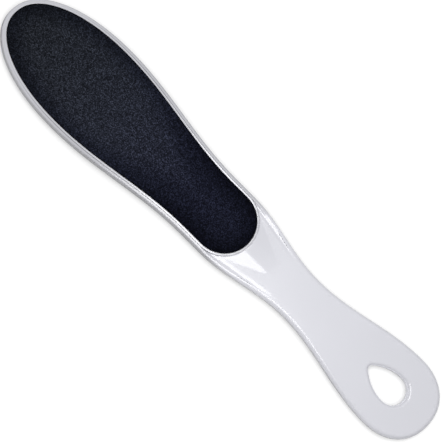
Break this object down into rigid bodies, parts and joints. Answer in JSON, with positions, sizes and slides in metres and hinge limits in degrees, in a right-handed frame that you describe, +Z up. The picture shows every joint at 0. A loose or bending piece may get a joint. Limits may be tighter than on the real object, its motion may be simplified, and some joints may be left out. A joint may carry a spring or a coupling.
{
  "type": "foot file",
  "caption": "Flat double-sided foot file: a long oval head with a pad of grit in a recess on each face, a narrow grip and a tail with a teardrop hang hole.",
  "frame": {"origin": "on the surface that the file lies on, under the middle of its length and width", "axes": "+X along the file from the head's tip to the hang hole, +Y across it, +Z up out of the front pad"},
  "size_m": [0.26, 0.0496, 0.0072],
  "materials": {
    "body_plastic": "glossy moulded white plastic",
    "adhesive": "pressure-sensitive adhesive film",
    "backing": "resin-treated cloth sheet",
    "fine_grit": "fine black grit in dark resin",
    "coarse_grit": "coarse black grit in dark resin"
  },
  "bodies": {
    "root": {"handle_body": "body_plastic", "front_adhesive_film": "adhesive", "front_backing_sheet": "backing", "front_grit_coat": "fine_grit", "rear_adhesive_film": "adhesive", "rear_backing_sheet": "backing", "rear_grit_coat": "coarse_grit"}
  },
  "joints": []
}
